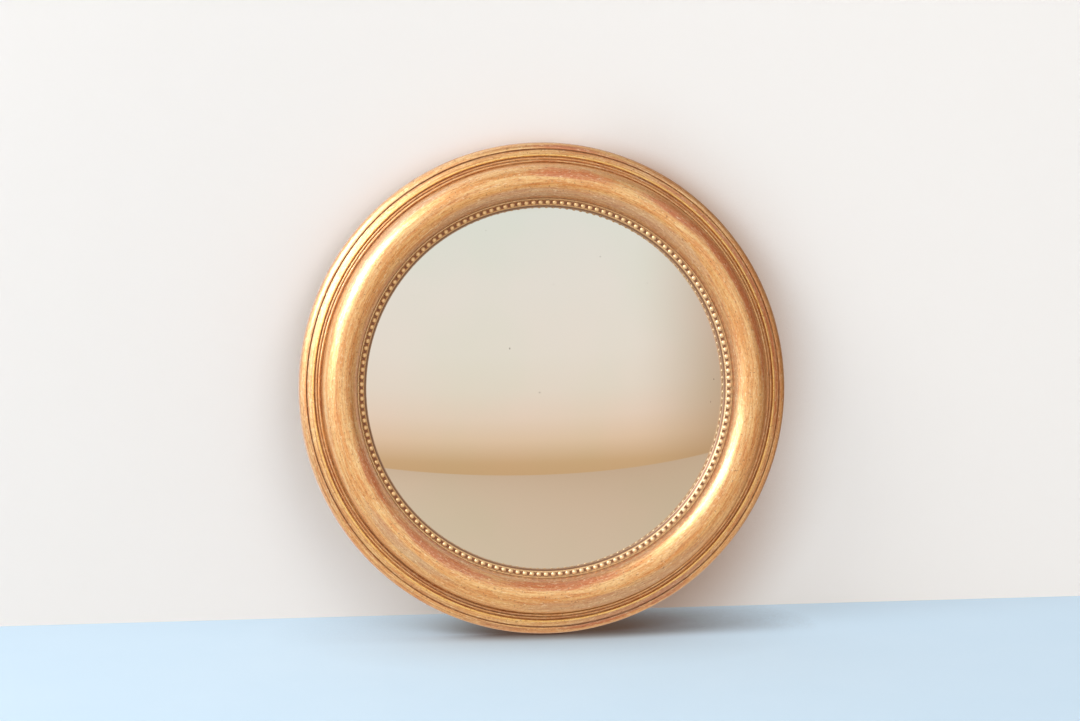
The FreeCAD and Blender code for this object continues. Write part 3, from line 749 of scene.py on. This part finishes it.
def make_beading(gilding):
    """Strips of pearls on a tape. No two pressings are quite alike."""
    shaky = random.Random(27)
    step = FULL_TURN / SEGMENTS
    inner, outer = BED_INNER + TAPE_PLAY, BED_OUTER - TAPE_PLAY
    tape = [
        (outer, BED_LEVEL), (outer, STRIP_TOP - 0.25), (outer - TAPE_CHAMFER, STRIP_TOP),
        (inner + TAPE_CHAMFER, STRIP_TOP), (inner, STRIP_TOP - 0.25), (inner, BED_LEVEL),
    ]
    for index in range(SEGMENTS):
        first = (index + 0.5) * step
        strip = turned(
            f"pearl_strip_{index + 1}", tape, [gilding], lambda start, end: False, first, step,
            steps=SEGMENT_STEPS // 2,
        )
        mesh = bmesh.new()
        mesh.from_mesh(strip.data)
        for bead in range(BEADS_PER_STRIP):
            angle = first + step * (bead + 0.5) / BEADS_PER_STRIP
            add_pearl(mesh, angle + shaky.uniform(-0.03, 0.03), shaky)
        mesh.to_mesh(strip.data)
        mesh.free()
        settle(strip, f"bead_strip_{index + 1}")


def add_pearl(mesh, angle, shaky):
    """One pressed pearl, a little flattened, with its foot cut flat."""
    size = BEAD_RADIUS * shaky.uniform(0.955, 1.0)
    made = bmesh.ops.create_uvsphere(mesh, u_segments=20, v_segments=14, radius=1.0)["verts"]
    middle = at(BEAD_RING + shaky.uniform(-0.06, 0.06), BEAD_HEIGHT, angle)
    out = Vector((math.cos(math.radians(angle)), 0.0, math.sin(math.radians(angle))))
    up = Vector((0.0, -1.0, 0.0))
    aside = out.cross(up)
    phase = shaky.uniform(0.0, 100.0)
    for vert in made:
        place = vert.co.copy()
        rough = 1.0 - 0.035 * (0.5 + 0.5 * noise.noise(place * 1.6 + Vector((phase, 0.0, 0.0))))
        shape = Vector((place.x * size, place.y * size * 1.04, place.z * size * 0.985)) * rough
        if place.z < -0.32:
            shape.z = -0.34 * size
        vert.co = middle + (out * shape.x + aside * shape.y + up * shape.z) * MM
    for face in {face for vert in made for face in vert.link_faces}:
        face.smooth = True


def make_glass(face, edge, back):
    """The glass: a shell between two spheres with one centre, silvered behind."""
    rings, turns = 40, 240
    mesh = bmesh.new()
    sheets = []
    for sphere in (DOME_RADIUS, DOME_RADIUS - GLASS_THICKNESS):
        centre = mesh.verts.new(at(0.0, DOME_CENTRE + sphere, 0.0))
        sheet = [[centre] * turns]
        for ring in range(1, rings + 1):
            radius = GLASS_RADIUS * ring / rings
            height = DOME_CENTRE + math.sqrt(sphere**2 - radius**2)
            sheet.append(
                [
                    mesh.verts.new(at(radius, height, turn * FULL_TURN / turns))
                    for turn in range(turns)
                ]
            )
        sheets.append(sheet)
    for index, sheet in enumerate(sheets):
        for inner, outer in zip(sheet, sheet[1:]):
            for turn in range(turns):
                ahead = (turn + 1) % turns
                corners = [inner[turn], outer[turn], outer[ahead], inner[ahead]]
                if inner[turn] is inner[ahead]:
                    corners.pop()
                made = mesh.faces.new(corners)
                made.material_index = 2 * index
                made.smooth = True
    for turn in range(turns):
        ahead = (turn + 1) % turns
        made = mesh.faces.new(
            (sheets[0][-1][turn], sheets[1][-1][turn], sheets[1][-1][ahead], sheets[0][-1][ahead])
        )
        made.material_index = 1
        made.smooth = True
    bmesh.ops.recalc_face_normals(mesh, faces=mesh.faces[:])
    piece = finished("domed_glass", mesh, [face, edge, back])
    settle(piece, "convex_mirror")


def dress(node, material):
    """Give a CAD node its finish."""
    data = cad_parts[node].data
    data.materials.clear()
    data.materials.append(material)


# ---------------------------------------------------------------- the studio

# Lengths in metres, lamp powers in watts.
ROOM_WIDTH, ROOM_DEPTH, ROOM_HEIGHT = 12.0, 5.0, 5.0
TABLE_WIDTH, TABLE_DEPTH = 8.0, 0.77
FLOOR_SHADE_REACH, WALL_SHADE_REACH = 0.10, 0.14
AMBIENT = 0.93  # brightness of the soft light all round
GLOSS_STRENGTH = 1.3  # brightness of the room that metal and glass show
WINDOW_PLACE, WINDOW_SIZE = CENTRE + Vector((-1.42, -0.77, 1.0)), (0.9, 0.9)
WINDOW_POWER, GLEAM_POWER = 11.0, 40.0
FILL_PLACE, FILL_SIZE, FILL_POWER = (0.9, -2.6, 0.7), (1.6, 1.2), 12.5
CAMERA_AZIMUTH, CAMERA_ELEVATION, CAMERA_ROLL = -8.9, 1.0, -0.85
CAMERA_DISTANCE, CAMERA_LENS, CAMERA_SENSOR = 2.6, 108.6, 36.0
CAMERA_AIM = Vector((-0.0011, 0.0, 0.02175))


def sheet(name, origin, across, along, material):
    """Flat piece of the studio, from a corner and two sides."""
    data = bpy.data.meshes.new(name)
    corners = [origin, origin + across, origin + across + along, origin + along]
    data.from_pydata([tuple(corner) for corner in corners], [], [(0, 1, 2, 3)])
    data.materials.append(material)
    piece = bpy.data.objects.new(name, data)
    bpy.context.scene.collection.objects.link(piece)
    return piece


def room_point(x, out, up):
    """Point of the room: out from the wall and up from the shelf, in metres."""
    wall = WALL_DISTANCE * MM
    return Vector((x, 0.0, 0.0)) + ROOM_OUT * (wall + out) + ROOM_UP * (ROOM_UP.dot(FOOT) + up)


def floor_finish():
    material, n = new_material("pale_floor")
    place = n.place()
    grain = n.noise(place, 14.0, 3.0)
    colour = n.mix(grain, paint(200, 228, 250), paint(205, 231, 252))
    # Painted shade: the floor's colour darkens under the mirror's foot, most behind it and to
    # the right, where the wall shuts the light out too. The light that the floor throws back is
    # neutral.
    behind = n.span(n.dot(place, ROOM_OUT), 0.065, 0.10, 1.0, 0.0)
    shut = n.math("MULTIPLY", behind, n.span(n.parts(place)[0], -0.10, 0.03))
    openness = n.math("POWER", n.openness(FLOOR_SHADE_REACH), n.scaled(shut, 4.0, 1.0))
    shade = n.span(openness, 0.10, 0.98, 1.0, 0.0, smooth=False)
    shade = n.math("MULTIPLY", shade, n.scaled(behind, 0.6, 0.4))
    colour = n.mix(shade, colour, paint(74, 46, 30))
    bounce = n.add("ShaderNodeLightPath").outputs["Is Diffuse Ray"]
    colour = n.mix(bounce, colour, paint(208, 222, 234))
    n.surface(Base_Color=colour, Roughness=0.75)
    return material


def wall_finish():
    """Pale paint, made lighter to the right as painted light against the lamps' fall-off, with
    warm painted shade beside the mirror's lower right. It shows from the front only, so that
    the wall never hides the mirror's back."""
    material, n = new_material("pale_wall")
    x, y, z = n.parts(n.from_axis(n.place()))
    reach = n.hypotenuse(x, z)
    # Painted shade: warm and darker beside the mirror's lower right, where things stand close.
    beside = n.math("MULTIPLY", n.span(reach, 0.205, 0.275, 0.62, 0.0), n.span(x, 0.02, 0.11))
    shut = n.span(n.openness(WALL_SHADE_REACH), 0.45, 1.0, 1.0, 0.0, smooth=False)
    # Painted light: the paint runs lighter to the right, against the lamps' fall-off.
    colour = n.mix(n.span(x, -0.35, 0.4), paint(244, 240, 236), paint(254, 249, 244))
    colour = n.mix(n.math("MULTIPLY", shut, beside), colour, paint(176, 132, 98))
    front = n.add("ShaderNodeBsdfDiffuse", {"Color": colour})
    clear = n.add("ShaderNodeBsdfTransparent")
    behind = n.add("ShaderNodeNewGeometry").outputs["Backfacing"]
    both = n.add("ShaderNodeMixShader", {0: behind, 1: front.outputs[0], 2: clear.outputs[0]})
    n.output(both)
    return material


def table_finish():
    material, n = new_material("table_glow")
    place = n.place()
    # Painted reflection: a table top's glow, darker farther out and to the right.
    far = n.span(n.dot(place, ROOM_OUT), 0.05, 0.80, smooth=False)
    colour = n.mix(far, paint(216, 200, 177), paint(200, 177, 151))
    side = n.span(n.parts(place)[0], -0.5, 0.5)
    colour = n.mix(n.scaled(side, 0.5), colour, paint(188, 160, 132))
    n.output(n.add("ShaderNodeEmission", {"Color": colour, "Strength": GLOSS_STRENGTH}))
    return material


def make_room():
    corner, width = room_point(-ROOM_WIDTH / 2, 0.0, 0.0), Vector((ROOM_WIDTH, 0.0, 0.0))
    floor = sheet("floor", corner, width, ROOM_OUT * ROOM_DEPTH, floor_finish())
    floor.visible_glossy = False
    wall = sheet("wall", corner, width, ROOM_UP * ROOM_HEIGHT, wall_finish())
    wall.visible_glossy = False
    wall.visible_shadow = False
    wall.visible_diffuse = False
    # What the glass shows below its horizon: the near part of a table top, as a sheet that
    # glows and shows only in reflections: painted reflection.
    corner, width = room_point(-TABLE_WIDTH / 2, 0.0, 0.001), Vector((TABLE_WIDTH, 0.0, 0.0))
    table = sheet("table", corner, width, ROOM_OUT * TABLE_DEPTH, table_finish())
    table.visible_camera = False
    table.visible_diffuse = False
    table.visible_shadow = False
    table.visible_transmission = False


def make_world():
    """Even light, a pale background for the camera, and for gloss a plain room: bright to
    the left, warm and darker to the right, with a golden band low down in front."""
    world = bpy.data.worlds.new("studio")
    bpy.context.scene.world = world
    n = Nodes(world)
    way = n.add("ShaderNodeTexCoord").outputs["Generated"]
    lift = n.math("DEGREES", n.math("ARCSINE", n.dot(way, ROOM_UP)))
    out = n.dot(way, ROOM_OUT)
    side = n.parts(way)[0]
    room = n.ramp(
        lift,
        [
            (-14.0, paint(192, 157, 114)), (-8.0, paint(200, 166, 125)),
            (-3.0, paint(220, 193, 164)), (2.0, paint(226, 206, 186)),
            (8.0, paint(226, 214, 199)), (16.0, paint(227, 219, 207)),
            (30.0, paint(226, 221, 211)), (48.0, paint(222, 222, 214)),
            (60.0, paint(196, 170, 142)), (80.0, paint(150, 116, 84)),
        ],
        -90.0,
        90.0,
    )
    right = n.span(side, 0.45, 0.95)
    room = n.mix(n.scaled(right, 0.92), room, paint(172, 136, 100))
    room = n.mix(n.span(side, 0.78, 0.98), room, paint(118, 82, 52))
    left = n.span(side, -0.95, -0.62, 1.0, 0.0)
    room = n.mix(left, room, paint(250, 248, 244))
    wall = n.mix(n.span(side, -0.2, 0.8), paint(232, 228, 220), paint(128, 92, 62))
    room = n.mix(n.span(out, 0.0, 0.15, 1.0, 0.0), room, wall)
    path = n.add("ShaderNodeLightPath")
    gloss = n.math("MAXIMUM", path.outputs["Is Glossy Ray"], path.outputs["Is Transmission Ray"])
    soft = n.mix(
        n.span(side, -0.3, 0.9),
        (AMBIENT, AMBIENT * 0.99, AMBIENT * 0.985, 1.0),
        (AMBIENT * 0.45, AMBIENT * 0.40, AMBIENT * 0.35, 1.0),
    )
    soft = n.mix(n.span(lift, -40.0, 5.0, 0.5, 0.0), soft, (0.30, 0.24, 0.19, 1.0))
    ambient = n.mix(gloss, soft, room)
    colour = n.mix(path.outputs["Is Camera Ray"], ambient, paint(245, 243, 240))
    strength = n.scaled(gloss, GLOSS_STRENGTH - 1.0, 1.0)
    background = n.add("ShaderNodeBackground", {"Color": colour, "Strength": strength})
    n.output(background, "ShaderNodeOutputWorld")


def area_light(name, place, size, power):
    """White lamp that faces the mirror."""
    data = bpy.data.lights.new(name, "AREA")
    data.shape = "RECTANGLE"
    data.size, data.size_y = size
    data.energy = power
    lamp = bpy.data.objects.new(name, data)
    lamp.location = place
    lamp.rotation_euler = (CENTRE - Vector(place)).to_track_quat("-Z", "Y").to_euler()
    bpy.context.scene.collection.objects.link(lamp)
    return lamp


def make_lights():
    """A window to the upper left, whose gleam on metal is a lamp of its own, and a soft fill
    from the right that leaves no highlight."""
    area_light("window", WINDOW_PLACE, WINDOW_SIZE, WINDOW_POWER)
    gleam = area_light("gleam", WINDOW_PLACE, WINDOW_SIZE, GLEAM_POWER)
    gleam.visible_diffuse = False
    fill = area_light("fill", FILL_PLACE, FILL_SIZE, FILL_POWER)
    fill.visible_glossy = False


def make_camera():
    data = bpy.data.cameras.new("camera")
    data.lens, data.sensor_width = CAMERA_LENS, CAMERA_SENSOR
    data.clip_start = 0.01
    camera = bpy.data.objects.new("camera", data)
    turn, lift = math.radians(CAMERA_AZIMUTH), math.radians(CAMERA_ELEVATION)
    toward = Vector((math.sin(turn), -math.cos(turn), math.tan(lift))) * math.cos(lift)
    camera.location = CENTRE + toward * CAMERA_DISTANCE
    look = CENTRE + CAMERA_AIM - camera.location
    roll = Matrix.Rotation(math.radians(CAMERA_ROLL), 4, "Z")
    camera.rotation_euler = (look.to_track_quat("-Z", "Y").to_matrix().to_4x4() @ roll).to_euler()
    bpy.context.scene.collection.objects.link(camera)
    bpy.context.scene.camera = camera


# ---------------------------------------------------------------- assembly

make_frame_segments(base_gilding(), torus_gilding(), raw_wood())
make_slip(slip_gilding())
make_beading(bead_gilding())
make_glass(mirror_face(), mirror_edge(), mirror_back())
dress("glass_felt", felt())
greyboard = (paint(176, 166, 150), paint(150, 140, 124), paint(110, 102, 92))
dress("packing_ring", board("greyboard_fibre", *greyboard, 60.0))
hardboard = (paint(138, 94, 60), paint(124, 82, 51), paint(88, 56, 35))
dress("backboard", board("hardboard_fibre", *hardboard, 26.0))
rubber_finish = rubber()
dress("bumper_left", rubber_finish)
dress("bumper_right", rubber_finish)
zinc = plated("zinc_plate", paint(214, 212, 206), paint(176, 174, 168), paint(150, 142, 130), 0.26)
dress("hanger_strap", zinc)
dress("hanger_ring", zinc)
screw_zinc = (paint(206, 204, 198), paint(166, 164, 158), paint(140, 132, 120))
dress("hanger_screws", plated("screw_zinc", *screw_zinc, 0.3))
screw_brass = (paint(206, 170, 100), paint(176, 138, 76), paint(132, 100, 62))
dress("button_screws", plated("screw_brass_worn", *screw_brass, 0.3))
brass = plated("brass_plate", paint(214, 178, 106), paint(190, 150, 84), paint(146, 112, 70), 0.26)
for button in range(1, 5):
    dress(f"turn_button_{button}", brass)

bpy.context.scene.view_settings.view_transform = "Standard"
make_room()
make_world()
make_lights()
make_camera()
